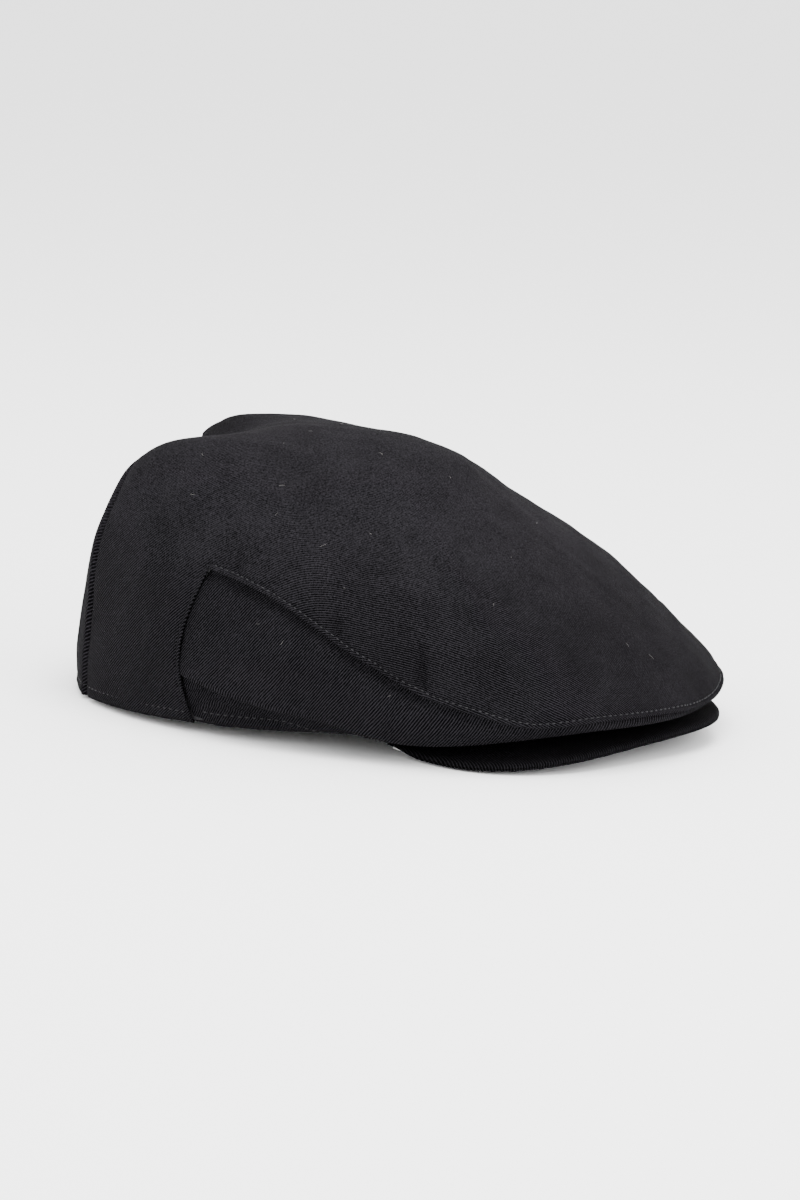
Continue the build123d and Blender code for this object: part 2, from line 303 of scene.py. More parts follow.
def top_surface(turn, height):
    """The outer face of the top panel, in millimetres, and its outward normal."""
    point, normal, per_turn, per_height = crown_frame(turn, height)
    lift = top_relief(turn, height, point, per_turn, per_height)
    return point + normal * lift[..., None], normal


lobe, _ = top_surface(np.radians([160.0, 180.0]), np.array([0.45, 0.45]))
print("beside the valley and in it, mm:", np.round(lobe, 1).tolist())

# %% [markdown]
# ## From grid to cloth
#
# Every piece below is a grid of points worked out as whole arrays. One helper turns grids into a
# mesh: it joins rows and columns with four-sided faces, welds grids that share an edge, writes
# the cloth's flat coordinates as a UV map, and gives the sheet its thickness with Solidify.

# %% Mesh helpers
WELD, SLIVER = 2e-6, 1e-7      # metres: corners this close are one, edges this short go


def placed_object(name, data):
    """An object for a mesh, lamp or camera, linked to the scene at the origin."""
    thing = bpy.data.objects.new(name, data)
    bpy.context.scene.collection.objects.link(thing)
    return thing


def grid_quads(rows, columns, first=0):
    """Faces of a grid whose points are numbered row by row, facing along column x row."""
    corner = first + np.arange(rows - 1)[:, None] * columns + np.arange(columns - 1)[None, :]
    return np.stack([corner, corner + 1, corner + columns + 1, corner + columns], -1).reshape(-1, 4)


def cloth_mesh(name, grids, flats):
    """A mesh object from grids of points in millimetres, with flat cloth coordinates in metres."""
    points = np.concatenate([g.reshape(-1, 3) for g in grids]) * MM
    starts = np.cumsum([0] + [g.shape[0] * g.shape[1] for g in grids])
    faces = np.concatenate([grid_quads(g.shape[0], g.shape[1], s) for g, s in zip(grids, starts)])
    mesh = bpy.data.meshes.new(name)
    mesh.from_pydata(points.tolist(), [], faces.tolist())
    flat = np.concatenate([f.reshape(-1, 2) for f in flats]) * MM
    layer = mesh.uv_layers.new(name="cloth")
    layer.data.foreach_set("uv", flat[faces.reshape(-1)].astype(np.float32).ravel())
    work = bmesh.new()
    work.from_mesh(mesh)
    bmesh.ops.remove_doubles(work, verts=work.verts, dist=WELD)
    bmesh.ops.dissolve_degenerate(work, edges=work.edges, dist=SLIVER)
    work.to_mesh(mesh)
    work.free()
    mesh.polygons.foreach_set("use_smooth", np.ones(len(mesh.polygons), bool))
    mesh.update()
    return placed_object(name, mesh)


def thicken(piece, millimetres):
    """Give a sheet its thickness, inward from the face that shows."""
    solid = piece.modifiers.new("cloth thickness", "SOLIDIFY")
    solid.thickness, solid.offset, solid.use_even_offset = millimetres * MM, -1.0, False
    return piece


def thinned(count, stride):
    """Every few numbers from 0 to count - 1, with the last always among them."""
    picked = list(range(0, count, stride))
    return np.array(picked if picked[-1] == count - 1 else picked + [count - 1])


def travelled(grid):
    """Mean distance covered from the first row of a grid to each of its rows."""
    return np.concatenate([[0], np.cumsum(np.linalg.norm(np.diff(grid, axis=0), axis=2).mean(1) + 1e-6)])


def flatten(grids, stride, cuts=()):
    """Lay joined grids flat with little stretch, as a pattern cutter would: a coarse copy is
    unwrapped, scaled to its true area, turned so that the cap's length runs up the pattern,
    and read back at every point. cuts are (grid, column) edges that stay open, as a dart is."""
    coarse, picks = [], []
    for g in grids:
        rows, columns = thinned(g.shape[0], stride), thinned(g.shape[1], stride)
        coarse.append(g[np.ix_(rows, columns)])
        picks.append((rows, columns))
    keys = []
    for number, g in enumerate(coarse):
        tag = np.zeros(g.shape[:2])
        for grid, column in cuts:
            if grid == number:
                tag[:-1, column] = number + 1
        keys.append(np.concatenate([np.round(g, 3), tag[..., None]], -1).reshape(-1, 4))
    unique, first, back = np.unique(np.concatenate(keys), axis=0, return_index=True, return_inverse=True)
    back = back.reshape(-1)
    starts = np.cumsum([0] + [g.shape[0] * g.shape[1] for g in coarse])
    faces = np.concatenate([grid_quads(g.shape[0], g.shape[1], s) for g, s in zip(coarse, starts)])
    faces = [list(dict.fromkeys(f)) for f in back[faces].tolist()]
    mesh = bpy.data.meshes.new("pattern")
    mesh.from_pydata(unique[:, :3].tolist(), [], [f for f in faces if len(f) > 2])
    mesh.uv_layers.new(name="cloth")
    pattern = placed_object("pattern", mesh)
    bpy.context.view_layer.objects.active = pattern
    pattern.select_set(True)
    bpy.ops.object.mode_set(mode="EDIT")
    bpy.ops.mesh.select_all(action="SELECT")
    bpy.ops.uv.unwrap(method="ANGLE_BASED", margin=0.0)
    bpy.ops.object.mode_set(mode="OBJECT")
    uv = np.zeros(len(mesh.loops) * 2, np.float32)
    mesh.uv_layers["cloth"].data.foreach_get("uv", uv)
    owner = np.zeros(len(mesh.loops), np.int32)
    mesh.loops.foreach_get("vertex_index", owner)
    flat = np.zeros((len(unique), 2))
    flat[owner] = uv.reshape(-1, 2)
    area = np.zeros(len(mesh.polygons))
    mesh.polygons.foreach_get("area", area)
    flat_area = 0.0
    for polygon in mesh.polygons:
        ring = flat[list(polygon.vertices)]
        after = np.roll(ring, -1, axis=0)
        flat_area += 0.5 * float((ring[:, 0] * after[:, 1] - ring[:, 1] * after[:, 0]).sum())
    flat *= math.sqrt(area.sum() / abs(flat_area))
    if flat_area < 0:
        flat[:, 0] *= -1
    spot = flat - flat.mean(0)
    along = np.linalg.lstsq(spot, unique[:, 1] - unique[:, 1].mean(), rcond=None)[0]
    angle = math.pi / 2 - math.atan2(along[1], along[0])
    turned = spot @ np.array([[math.cos(angle), math.sin(angle)], [-math.sin(angle), math.cos(angle)]])
    bpy.data.objects.remove(pattern)
    bpy.data.meshes.remove(mesh)
    result, used = [], 0
    for g, (rows, columns), whole in zip(coarse, picks, grids):
        count = g.shape[0] * g.shape[1]
        part = turned[back[used:used + count]].reshape(g.shape[0], g.shape[1], 2)
        used += count
        across, down = travelled(whole.swapaxes(0, 1)), travelled(whole)
        wide = np.stack([[np.interp(across, across[columns], part[r, :, k]) for k in (0, 1)]
                         for r in range(len(rows))])
        tall = np.stack([[np.interp(down, down[rows], wide[:, k, c]) for c in range(whole.shape[1])]
                         for k in (0, 1)])
        result.append(np.moveaxis(tall, 0, -1).swapaxes(0, 1))
    size = np.ptp(turned, axis=0)
    print("pattern", [round(float(v)) for v in size], "mm, area", round(area.sum() / 100), "cm2")
    return result, float(area.sum()), size


print("quads of a 3 by 3 grid:", len(grid_quads(3, 3)))

# %% [markdown]
# ## The top panel
#
# One piece of twill makes the nose, the top and both rear wings. It is laid out as four grids
# that share edges: the upper part all the way round, a wing on each side of the back, and the
# strip between the two darts. Columns follow the dart and side seam, so both stay crisp, and
# rows crowd towards the edges, where the rolled cloth needs them.

# %% Top panel
def crowded(start, end, count, places, pull=0.55, width=4.0):
    """Numbers from start to end, closer together near the given places."""
    fine = np.linspace(start, end, 4000)
    density = 1.0 + sum(pull / 0.25 * bump(fine - p, width) for p in places)
    travelled = np.concatenate([[0], np.cumsum((density[1:] + density[:-1]) / 2)])
    return np.interp(np.linspace(0, travelled[-1], count), travelled, fine)


UPPER_ROWS, WING_ROWS = 84, 60
GRAIN_LEAN = 42.0       # degrees between the ribs and the hem on the wings
front_half = crowded(0, CORNER, 126, [80, 86, 96.5, 114])
wing_part = crowded(CORNER, DART_TOP_TURN, 44, [CORNER, DART_TOP_TURN], pull=0.9)
strip_part = crowded(DART_TOP_TURN, 180, 24, [DART_TOP_TURN], pull=0.9)
half_turn = np.concatenate([front_half, wing_part[1:], strip_part[1:]])
all_round = np.radians(np.concatenate([half_turn, 360 - half_turn[-2::-1]]))


def upper_grid():
    """From the seam up to the top, all the way round."""
    share = np.linspace(0, 1, UPPER_ROWS)[:, None] ** 1.7
    edge = panel_edge(all_round)[None, :]
    return all_round[None, :] + 0 * share, edge + (1 - edge) * share


def flap_grid(columns, left_edge, right_edge):
    """From the hem up to the upper part: columns slide between two curved seams."""
    share = (np.linspace(0, 1, WING_ROWS) ** 0.9)[:, None]
    across = ((columns - columns[0]) / (columns[-1] - columns[0]))[None, :]
    turn = left_edge(share) * (1 - across) + right_edge(share) * across
    return np.radians(turn), share * panel_edge(np.radians(columns))[None, :]


def side_edge(share):
    """Degrees from the nose of the side seam, at a share of its height."""
    return eased(share, SIDE_SHARE, SIDE_TURN)


def dart_edge(share):
    """Degrees from the nose of the dart, at a share of its height."""
    return eased(share, DART_SHARE, DART_TURN)


def wing_lay(turn, height, flat, anchor):
    """Flat coordinates for the wings: the cloth's grain follows the hem there, eased by the dart."""
    side, left = away(turn), np.where(np.sin(turn) > 0, -1.0, 1.0)
    ruler = np.linspace(60, 180, 400)
    step = crown_frame(np.radians(ruler), 0.2 + 0 * ruler)[2]
    travel = np.concatenate([[0], np.cumsum(step[1:] * np.radians(np.diff(ruler)))])
    round_run = np.interp(side, ruler, travel)
    climb = left * height * CLOTH_RUN
    lean = math.radians(GRAIN_LEAN)
    p = math.cos(lean) * climb + math.sin(lean) * round_run
    q = math.sin(lean) * climb - math.cos(lean) * round_run
    lay = np.stack([p + q, p - q], -1) / math.sqrt(2)
    if anchor is None:
        return lay
    weight = smooth(side, 88, 116) * (1 - smooth(height, 0.40, 0.66)) * (1 - smooth(side, 156.5, 168))
    shift = np.where((left > 0)[..., None], anchor[0], anchor[1])
    return flat + (lay + shift - flat) * weight[..., None]


strip_columns = np.concatenate([strip_part, 360 - strip_part[-2::-1]])
top_coordinates = [
    upper_grid(),
    flap_grid(wing_part, side_edge, dart_edge),
    flap_grid(strip_columns, dart_edge, lambda s: 360 - dart_edge(s)),
    flap_grid(360 - wing_part[::-1], lambda s: 360 - dart_edge(s), lambda s: 360 - side_edge(s)),
]
top_grids = [top_surface(turn, height)[0] for turn, height in top_coordinates]
nose_turn, by_the_pole = np.zeros(1), np.array([0.999])
pole = crown(nose_turn, np.ones(1))[0]
top_grids[0][-1] = pole + top_surface(nose_turn, by_the_pole)[0][0] - crown(nose_turn, by_the_pole)[0]
top_flats, top_area, top_size = flatten(top_grids, 6, cuts=[(1, -1), (2, 0), (2, -1), (3, 0)])
anchor = []
upper_turn, upper_height = top_coordinates[0]
for turn in (math.radians(-104), math.radians(104)):
    nearest = np.argmin(np.abs(np.angle(np.exp(1j * (upper_turn[0] - turn)))))
    row = int(np.argmin(np.abs(upper_height[:, nearest] - 0.34)))
    lay = wing_lay(upper_turn[row:row + 1, nearest], upper_height[row:row + 1, nearest], None, None)
    anchor.append(top_flats[0][row, nearest] - lay[0])
top_flats = [wing_lay(turn, height, flat, anchor) for (turn, height), flat in zip(top_coordinates, top_flats)]
top_panel = thicken(cloth_mesh("top_panel_cloth", top_grids, top_flats), 1.0)
print("top panel faces", len(top_panel.data.polygons))

# %% [markdown]
# ## The side panels
#
# Each side panel tucks up under the top seam and swells a little below it. Then it folds under
# itself: above the ear the fold overhangs the hem wall, and towards the front it becomes the
# underside of the nose. The fold is drawn as a smooth curve through seven points, from the fold
# round and in to the edge of the head opening.

# %% Side panels
OPENING_HALF_WIDTH, OPENING_HALF_LENGTH = 83.0, 104.4
HEM_SLOPE, HEM_REAR = 12.0 / 262.0, 107.0     # the hem plane rises this much per mm in front of y = HEM_REAR


def opening(angle):
    """The head opening's edge: an ellipse on the sloping hem plane, 0 at the front."""
    x, y = OPENING_HALF_WIDTH * np.sin(angle), -OPENING_HALF_LENGTH * np.cos(angle)
    return np.stack([x, y, HEM_SLOPE * (HEM_REAR - y)], -1)


def opening_outward(angle):
    """Level direction square to the opening's edge, pointing away from the head."""
    out = np.stack([np.sin(angle) / OPENING_HALF_WIDTH, -np.cos(angle) / OPENING_HALF_LENGTH, 0 * angle], -1)
    return out / np.linalg.norm(out, axis=-1, keepdims=True)


PANEL_ROWS, TUCK_ROWS = 56, 40
panel_columns = crowded(0, CORNER, 150, [0, 108, CORNER], pull=0.5, width=6.0)
TUCK_UNDER_TOP = 4.0     # how far the panel runs up behind the top panel
CORNER_ON_OPENING = 104.2    # degrees round the opening's ellipse where the corner comes down


def side_grid(sign):
    """One side panel as a grid: rows climb from the hem, under the fold, and up to the seam."""
    degrees_in = panel_columns if sign > 0 else -panel_columns[::-1]
    side = np.abs(degrees_in)[None, :]
    # above the fold
    share = np.linspace(0, 1, PANEL_ROWS)[:, None] ** 0.85
    seam = eased(side, TOP_SEAM_TURN, TOP_SEAM_HEIGHT) + TUCK_UNDER_TOP / CLOTH_RUN
    fold = eased(side, FOLD_TURN, FOLD_HEIGHT)
    height = fold + (seam - fold) * share
    curve = (eased(height / CORNER_HEIGHT, SIDE_SHARE, SIDE_TURN) - CORNER) * smooth(side, 96, CORNER)
    turn = np.radians(np.sign(degrees_in + 1e-9)[None, :] * (side + curve))
    point, normal, per_turn, per_height = crown_frame(turn, np.maximum(height, 0.002))
    from_seam = (seam - height) * per_height - TUCK_UNDER_TOP
    from_fold = (height - fold) * per_height
    from_side = np.radians(CORNER - side) * per_turn
    lift = -1.7 - 0.3 * smooth(side, 70, 40) + 1.5 * smooth(from_seam, 0.5, 6) * smooth(side, 40, 75)
    lift = lift + 0.5 * smooth(from_seam, 2, 16) * smooth(from_fold, 0, 14)
    lift = lift - 0.6 * (1 - smooth(from_side, 0.5, 6)) * smooth(from_seam, 0, 3)
    lift = lift + 2.8 * bump(side - 99, 19) * (1 - smooth(from_fold, 0.5, 15))
    lift = lift + 0.5 * wander(point[..., 1] / 24, point[..., 2] / 16, 21 + sign)
    above = point + normal * lift[..., None]
    sag = 0.4 * bump(side - 70, 19) * (1 - smooth(from_fold, 0, 13))
    above[..., 2] -= sag
    # below the fold
    up = crown(turn[0], np.maximum(height[0], 0.002) + 0.004) - crown(turn[0], np.maximum(height[0], 0.002))
    up /= np.linalg.norm(up, axis=-1, keepdims=True)
    inward = -normal[0]
    angle = np.radians(degrees_in * CORNER_ON_OPENING / CORNER)
    edge, out = opening(angle), opening_outward(angle)
    start = above[0]
    clear = np.clip(start[:, 2] - edge[:, 2] - 3.5, 0, 14) * 0.85
    tuck_top = edge + out * 1.2 + np.array([0, 0, 1.0]) * (clear + 0.4)[:, None]
    tuck_top += out * (3.0 * smooth(70 - side[0], 0, 30))[:, None]
    knots = [edge, 0.5 * (edge + tuck_top), tuck_top]
    deep = smooth(side[0], 66, 92)[:, None]
    undercut = start + up * (1.9 * deep - 1.0) + inward * (2.8 + 1.4 * deep)
    knots += [0.5 * undercut + 0.5 * tuck_top, undercut, start - up * 1.0 + inward * 1.3, start]
    path = np.array([0.0, 0.16, 0.34, 0.55, 0.72, 0.90, 1.0])
    table = spline_table(path)
    weights = spline_weights(path, table, np.linspace(0, 1, TUCK_ROWS)[:-1])
    tuck = np.einsum("rk,kcx->rcx", weights, np.stack(knots))
    wall_height = np.linspace(0.001, 1, TUCK_ROWS)[:-1, None] * np.maximum(fold, 0.002)
    wall_turn = np.radians(np.sign(degrees_in + 1e-9)[None, :]
                           * (side + (eased(wall_height / CORNER_HEIGHT, SIDE_SHARE, SIDE_TURN) - CORNER)
                              * smooth(side, 96, CORNER)))
    wall, wall_normal, _, _ = crown_frame(wall_turn, wall_height)
    wall = wall - wall_normal * 1.2
    keep = smooth(side, 112.5, 119.2)[..., None]
    below = tuck * (1 - keep) + wall * keep
    return np.concatenate([below, above])


side_grids = {"left": side_grid(1), "right": side_grid(-1)}
side_panels, side_sizes = {}, {}
for hand, grid in side_grids.items():
    flats, area, size = flatten([grid], 5)
    side_panels[hand] = thicken(cloth_mesh(f"side_panel_{hand}_cloth", [grid], flats), 0.9)
    side_sizes[hand] = (area, size)
print("side panel faces", len(side_panels["left"].data.polygons))

# %% [markdown]
# ## The brim
#
# A real brim is a sheet of board with cloth turned over it and caught in a seam low on the edge.
# It is drawn as one section, an outline of a dozen points, carried from the left end to the right
# end between the head opening and the free edge. The edge is rounded, with a groove and a small
# lip where the two covers meet.

# %% Brim
BRIM_EDGE = [(0, -159.5), (43, -143), (69, -125), (82, -106.5), (85.5, -91), (80, -66), (71, -48)]
BRIM_THICK, BRIM_SLOPE, BRIM_ARCH = 2.8, 0.028, 1200.0


def brim_underside(x, y):
    """Height of the brim's lower face: it slopes down to the front and arches from side to side."""
    return 8.0 - BRIM_SLOPE * (y + 158.0) - x ** 2 / BRIM_ARCH


whole_edge = np.array([(-x, y) for x, y in BRIM_EDGE[:0:-1]] + BRIM_EDGE, float)
edge_run = np.concatenate([[0], np.cumsum(np.hypot(*np.diff(whole_edge, axis=0).T))])
edge_table = spline_table(edge_run)
trial = spline_weights(edge_run, edge_table, np.linspace(0, edge_run[-1] / 2, 4000)) @ whole_edge
inside_opening = np.hypot(trial[:, 0] / OPENING_HALF_WIDTH, trial[:, 1] / OPENING_HALF_LENGTH) < 1.004
brim_start = np.linspace(0, edge_run[-1] / 2, 4000)[np.argmin(inside_opening)]
end_x, end_y = spline_weights(edge_run, edge_table, np.array([brim_start]))[0] @ whole_edge
END_ANGLE = math.atan2(end_x / OPENING_HALF_WIDTH, -end_y / OPENING_HALF_LENGTH)

# Profile of the free edge: distance in from the edge and height above the underside.
EDGE_PROFILE = [(6.0, 2.8), (3.6, 2.82), (2.2, 2.78), (1.2, 2.6), (0.5, 2.25), (0.1, 1.8), (0.02, 1.4),
                (0.2, 1.12), (0.55, 0.98), (0.25, 0.86), (0.06, 0.62), (0.2, 0.3), (0.7, 0.06), (1.6, 0.0),
                (3.0, 0.0), (6.0, 0.0)]
SEAM_IN_PROFILE = 8


def brim_grids(columns=320):
    """The top cover with the rounded edge, and the under cover with its lip and the inner wall."""
    share = np.linspace(0, 1, columns)
    along = brim_start + (edge_run[-1] - 2 * brim_start) * share
    outer = spline_weights(edge_run, edge_table, along) @ whole_edge
    angle = END_ANGLE * (1 - 2 * share)
    inner = np.stack([OPENING_HALF_WIDTH * np.sin(angle), -OPENING_HALF_LENGTH * np.cos(angle)], -1)
    reach = np.maximum(np.linalg.norm(outer - inner, axis=1), 0.5)
    toward = (inner - outer) / reach[:, None]
    shrink = np.clip(reach / 9.0, 0.05, 1.0)
    edge = np.array(EDGE_PROFILE)
    deep = np.linspace(1, 0, 26)[:-1]
    rows_in, rows_up = [], []
    for t in deep:
        rows_in.append(edge[0, 0] * shrink + (reach - edge[0, 0] * shrink) * t)
        rows_up.append(np.full(columns, BRIM_THICK))
    for distance, up in edge:
        rows_in.append(distance * shrink)
        rows_up.append(np.full(columns, up))
    for t in deep[::-1]:
        rows_in.append(edge[-1, 0] * shrink + (reach - edge[-1, 0] * shrink) * t)
        rows_up.append(np.full(columns, 0.0))
    rows_in.append(reach)
    rows_up.append(np.full(columns, BRIM_THICK / 2))
    rows_in.append(reach)
    rows_up.append(np.full(columns, BRIM_THICK))
    distance, up = np.stack(rows_in), np.stack(rows_up)
    flat = outer[None] + toward[None] * distance[..., None]
    x, y = flat[..., 0], flat[..., 1]
    wave = 0.16 * wander(x / 17, y / 15, 71) * smooth(distance, 2, 12) * np.where(up > 1, 1, -0.6)
    thin = 0.22 + 0.78 * smooth(reach, 0.5, 15)
    level = brim_underside(x, y) + BRIM_THICK - (BRIM_THICK - up) * thin + wave * thin
    grid = np.stack([x, y, level], -1)
    steps = np.linalg.norm(np.diff(grid, axis=0), axis=2)
    run = np.concatenate([np.zeros((1, columns)), np.cumsum(steps, 0)])
    spread = inner[None] - toward[None] * run[..., None]
    split = len(deep) + SEAM_IN_PROFILE
    under_flat = np.where((np.arange(len(distance)) > split + 6)[:, None, None], flat, spread)
    return [grid[:split + 1], grid[split:]], [spread[:split + 1], under_flat[split:]]


brim_parts, brim_flats = brim_grids()
brim_parts, brim_flats = [g[:, ::-1] for g in brim_parts], [f[:, ::-1] for f in brim_flats]
brim_cloth = cloth_mesh("brim_cloth", brim_parts, brim_flats)
print("brim faces", len(brim_cloth.data.polygons), "ends at y", round(float(end_y), 1))

# %% [markdown]
# ## The gusset behind the brim
#
# The brim and the nose are sewn to the same edge of the head opening. A soft strip joins them
# and lies nearly flat.

# %% Gusset
gusset_angle = np.linspace(-END_ANGLE * 0.985, END_ANGLE * 0.985, 130)
upper_edge = opening(gusset_angle) + opening_outward(gusset_angle) * -0.15
lower_edge = upper_edge.copy()
lower_edge[:, 2] = brim_underside(lower_edge[:, 0], lower_edge[:, 1]) + BRIM_THICK - 0.5
upper_edge[:, 2] += 0.6
share = np.linspace(0, 1, 34)[:, None, None]
gusset_grid = lower_edge[None] * (1 - share) + upper_edge[None] * share
gusset_flat = np.stack([np.broadcast_to(gusset_angle * 93.0, gusset_grid.shape[:2]), gusset_grid[..., 2]], -1)
gusset = thicken(cloth_mesh("brim_gusset", [gusset_grid], [gusset_flat]), 0.6)
print("gusset drop", round(float((upper_edge - lower_edge)[..., 2].max()), 2), "mm")

# %% [markdown]
# ## The lining
#
# Satin, a little smaller than the cloth, so it lies inside with gentle ripples. Its three pieces
# copy the layout of the three outer panels. Each piece faces inward, where a hand goes in.

# %% Lining
def grid_normals(grid):
    """Unit normals of a grid, from its own rows and columns."""
    normal = np.cross(np.gradient(grid, axis=1), np.gradient(grid, axis=0))
    return normal / np.maximum(np.linalg.norm(normal, axis=-1, keepdims=True), 1e-9)


lining_upper_columns = np.linspace(0, CORNER, 60)
lining_wing, lining_strip = np.linspace(CORNER, DART_TOP_TURN, 20), np.linspace(DART_TOP_TURN, 180, 14)
lining_half = np.concatenate([lining_upper_columns, lining_wing[1:], lining_strip[1:]])
lining_round = np.radians(np.concatenate([lining_half, 360 - lining_half[-2::-1]]))
lining_share = np.linspace(0, 1, 40)[:, None] ** 1.5
lining_low = panel_edge(lining_round)[None, :]
lining_turn = lining_round[None, :] + 0 * lining_share
lining_height = lining_low + (1 - lining_low) * lining_share
back_half = np.concatenate([lining_wing, lining_strip[1:]])
back_turn = np.radians(np.concatenate([back_half, 360 - lining_strip[-2::-1], 360 - lining_wing[-2::-1]]))
back_share = np.linspace(0.16, 1, 30)[:, None]
back_low = panel_edge(back_turn)[None, :]


def lining_surface(turn, height, seed):
    """The crown moved inward, with ripples that gather towards the sweatband."""
    point, normal, _, _ = crown_frame(turn, height)
    side = away(turn)
    ripple = 0.5 * wander(point[..., 0] / 20, point[..., 1] / 20 + point[..., 2] / 14, seed)
    gathers = np.sin(np.radians(side) * 21 + 2 * wander(side / 20, height * 3, seed + 1))
    ripple += 0.35 * gathers * (1 - smooth(height, 0.2, 0.7))
    return point - normal * (3.6 + rear_valley(point) + ripple)[..., None]


lining_grids = [lining_surface(lining_turn, lining_height, 31),
                lining_surface(back_turn[None, :] + 0 * back_share, back_low * back_share, 31)]
lining_flats = [np.stack([g[..., 0], g[..., 1] + g[..., 2]], -1) for g in lining_grids]
lining_grids, lining_flats = [g[:, ::-1] for g in lining_grids], [f[:, ::-1] for f in lining_flats]
lining_top = cloth_mesh("lining_top_satin", lining_grids, lining_flats)
lining_top = thicken(lining_top, 0.4)
lining_sides = {}
for hand, grid in side_grids.items():
    wall_rows, panel_rows_above = np.arange(3, TUCK_ROWS // 2, 2), np.arange(TUCK_ROWS + 9, len(grid) - 5, 2)
    clear_of_roll = np.concatenate([wall_rows, panel_rows_above])
    coarse = grid[np.ix_(clear_of_roll, thinned(grid.shape[1], 2))]
    coarse = coarse - grid_normals(coarse) * 2.2
    flat = np.stack([coarse[..., 1], coarse[..., 2]], -1)
    side_lining = cloth_mesh(f"lining_side_{hand}_satin", [coarse[:, ::-1]], [flat[:, ::-1]])
    lining_sides[hand] = thicken(side_lining, 0.4)
print("lining faces", len(lining_top.data.polygons), len(lining_sides["left"].data.polygons))

# %% [markdown]
# ## Sweatband, back elastic and label
#
# The band is a closed section carried round the head ellipse, with two rows of stitches and small
# tucks that follow them. The elastic behind it is gathered into narrow upright ruffles. The label
# is a blank woven tape with its two ends turned under.

# %% Sweatband, elastic and label
BAND_HALF_WIDTH, BAND_HALF_LENGTH = 81.2, 102.4     # the ellipse of the band's inner face
BAND_STITCH_UP = (3.6, 26.4)    # its two rows of stitches, above the hem plane


def head_ring(angle, above, grow):
    """Points round the head: grow millimetres outside the band's inner face, above the hem plane."""
    x, y = (BAND_HALF_WIDTH + grow) * np.sin(angle), -(BAND_HALF_LENGTH + grow) * np.cos(angle)
    return np.stack([x, y, HEM_SLOPE * (HEM_REAR - y) + above], -1)


# Sections of the three bands: outward from the band's inner face, and up from the hem plane.
BAND_SECTION = [(1.2, 1.6), (0.95, 1.1), (0.5, 1.0), (0.05, 1.25), (0.0, 2.0), (0.02, 3.0), (0.22, 3.6),
                (0.02, 4.2), (0.0, 6.0), (0.0, 9.0), (0.0, 13.0), (0.0, 17.0), (0.0, 21.0), (0.0, 24.0),
                (0.02, 25.8), (0.22, 26.4), (0.02, 27.0), (0.0, 28.0), (0.1, 28.8), (0.5, 29.0),
                (0.95, 28.9), (1.2, 28.4), (1.2, 15.0), (1.2, 1.6)]
band_angle = np.linspace(0, TURN, 361)
band = np.stack([head_ring(band_angle, up + 0 * band_angle, grow) for grow, up in BAND_SECTION])
band_face = np.array([1.0 if 3 <= k <= 17 else 0.0 for k in range(len(BAND_SECTION))])[:, None]
tucks = 0.14 * np.sin(band_angle * 96 + 2 * np.sin(band_angle * 5))[None, :] * band_face
slack = 0.5 * np.sin(band_angle * 3 + 0.6)[None, :] * np.clip(band[..., 2] / 30, 0, 1)
band_out = opening_outward(band_angle)
band = band + band_out[None] * (tucks * 0.8 - 0.25 * np.abs(slack) * band_face)[..., None]
band[:, -1] = band[:, 0]
band_flat = np.stack([np.broadcast_to(band_angle * 92.0, band.shape[:2]),
                      np.broadcast_to(np.array([up for _, up in BAND_SECTION])[:, None], band.shape[:2])], -1)
sweatband = cloth_mesh("sweatband_cotton", [band], [band_flat])

elastic_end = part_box("back_elastic")[1].x
elastic_reach = math.asin(min(0.99, elastic_end / MM / 82.0))
elastic_angle = np.linspace(math.pi - elastic_reach, math.pi + elastic_reach, 420)
ELASTIC_SECTION = [(0.9, 1.7), (0.3, 1.3), (-0.3, 1.6), (-0.5, 3.0), (-0.5, 8.0), (-0.5, 15.0), (-0.5, 22.0),
                   (-0.5, 27.0), (-0.3, 28.8), (0.3, 29.2), (0.9, 28.8), (0.9, 15.0), (0.9, 1.7)]
ruffle = 0.32 * np.sin(elastic_angle * 102.0 / 1.7 * TURN / 2)
ruffle *= smooth(elastic_reach - np.abs(elastic_angle - math.pi), 0, 0.03)
elastic = np.stack([head_ring(elastic_angle, up + 0 * elastic_angle, grow) for grow, up in ELASTIC_SECTION])
elastic_face = np.array([0, 0.3, 0.8, 1, 1, 1, 1, 1, 0.8, 0.3, 0, 0, 0])[:, None]
elastic = elastic + opening_outward(elastic_angle)[None] * (ruffle[None] * elastic_face)[..., None]
elastic_flat = np.stack([np.broadcast_to(elastic_angle * 102.0, elastic.shape[:2]), elastic[..., 2]], -1)
back_elastic = cloth_mesh("back_elastic_rib", [elastic], [elastic_flat])

label_low, label_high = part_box("blank_label")
label_half = (label_high.x - label_low.x) / 2 / MM
label_angle = math.pi + np.linspace(-1, 1, 40) * math.asin(label_half / 81.0)
LABEL_SECTION = [(-0.75, 10.2), (-1.05, 10.0), (-1.25, 10.4), (-1.2, 13.0), (-1.2, 16.0), (-1.2, 19.0),
                 (-1.25, 21.8), (-1.05, 22.2), (-0.75, 22.0), (-0.75, 16.0), (-0.75, 10.2)]
label = np.stack([head_ring(label_angle, up + 0 * label_angle, grow) for grow, up in LABEL_SECTION])
label_flat = np.stack([np.broadcast_to(label_angle * 100.0, label.shape[:2]), label[..., 2]], -1)
blank_label = cloth_mesh("blank_label_tape", [label], [label_flat])
print("band faces", len(sweatband.data.polygons), "elastic", len(back_elastic.data.polygons))

# %% [markdown]
# ## Stitches
#
# Thread is real geometry: each stitch is a small tapered bead lying in its groove. One short
# function places a whole row at even spacing along any path, so every seam uses the same bead.

